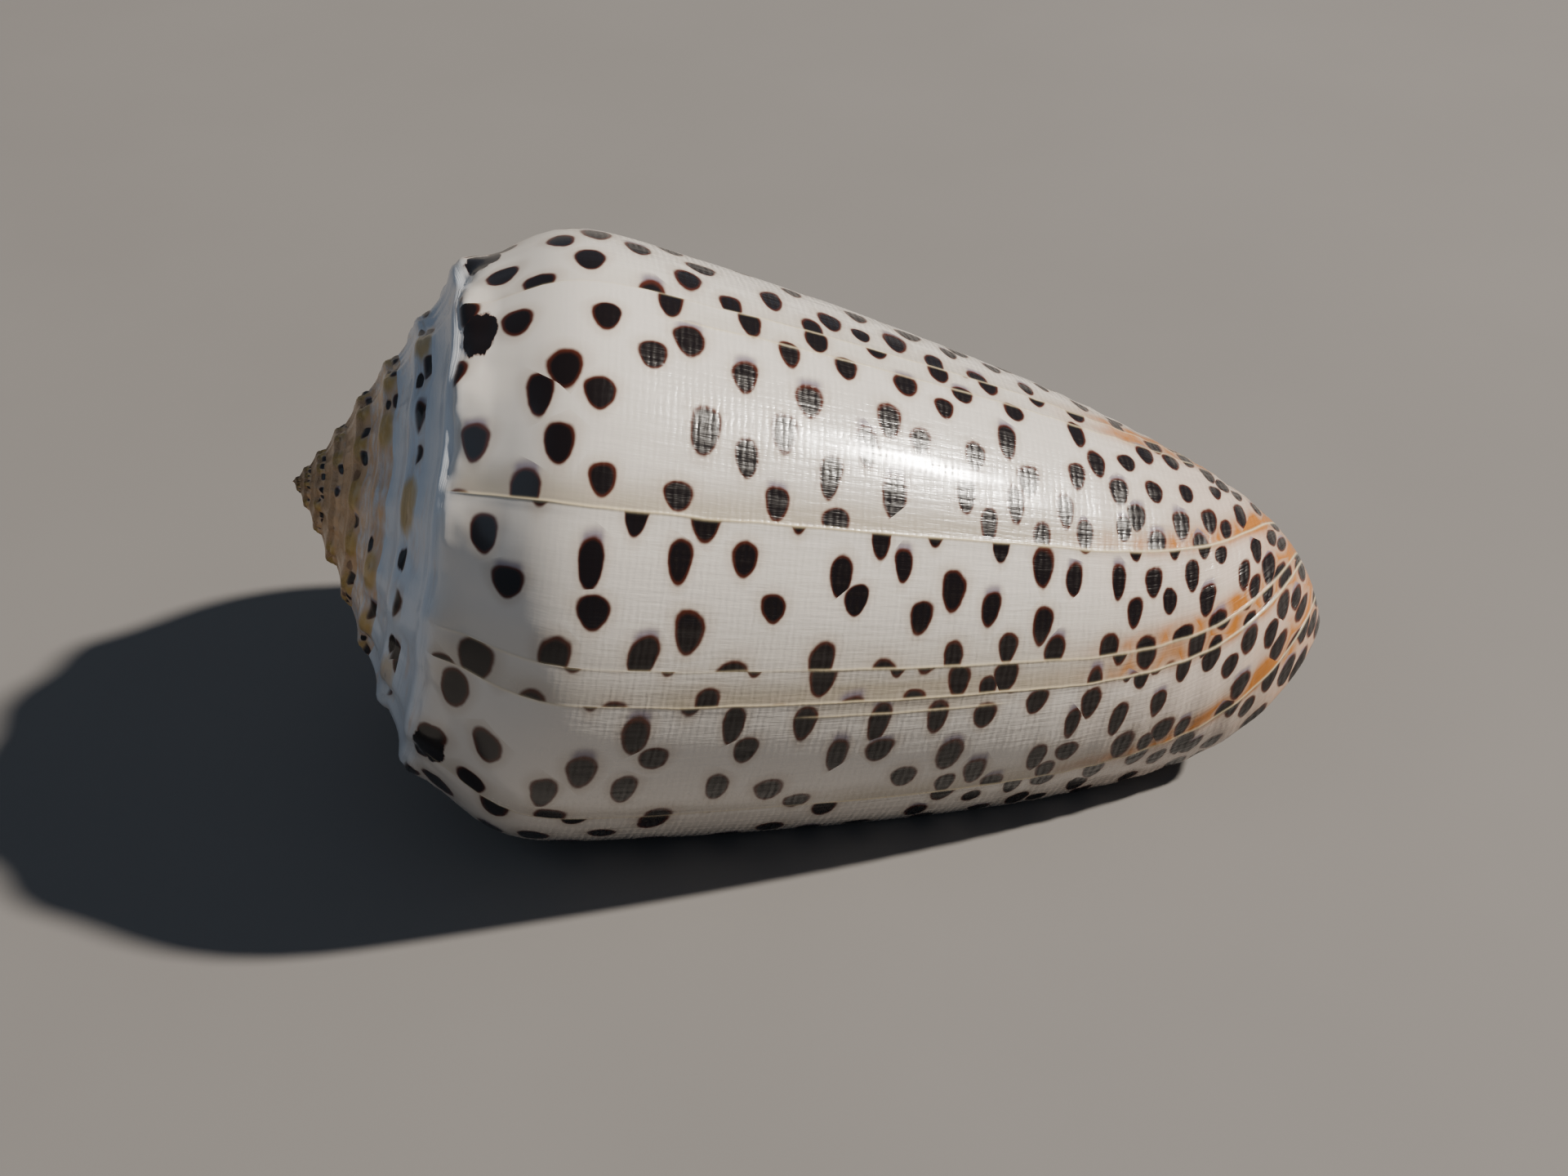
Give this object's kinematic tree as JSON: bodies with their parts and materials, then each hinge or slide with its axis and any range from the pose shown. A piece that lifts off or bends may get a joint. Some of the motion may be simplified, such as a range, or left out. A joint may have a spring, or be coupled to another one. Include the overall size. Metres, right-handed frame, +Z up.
{
  "type": "cone shell",
  "caption": "Empty cone-shaped sea shell, lying on its aperture, with a low stepped spire, a full tapering body, a long slit aperture and dark spots on glossy white.",
  "frame": {"origin": "on the surface the shell rests on, under the middle of its bounding box", "axes": "+Z up, +X along the shell towards its base end, which dips slightly; the spire is at -X and the lip is low on the -Y side"},
  "size_m": [0.0488, 0.0276, 0.0263],
  "materials": {
    "glossy_shell": "polished, glossy, with dark spots"
  },
  "bodies": {
    "root": {"shell": "glossy_shell"}
  },
  "joints": []
}
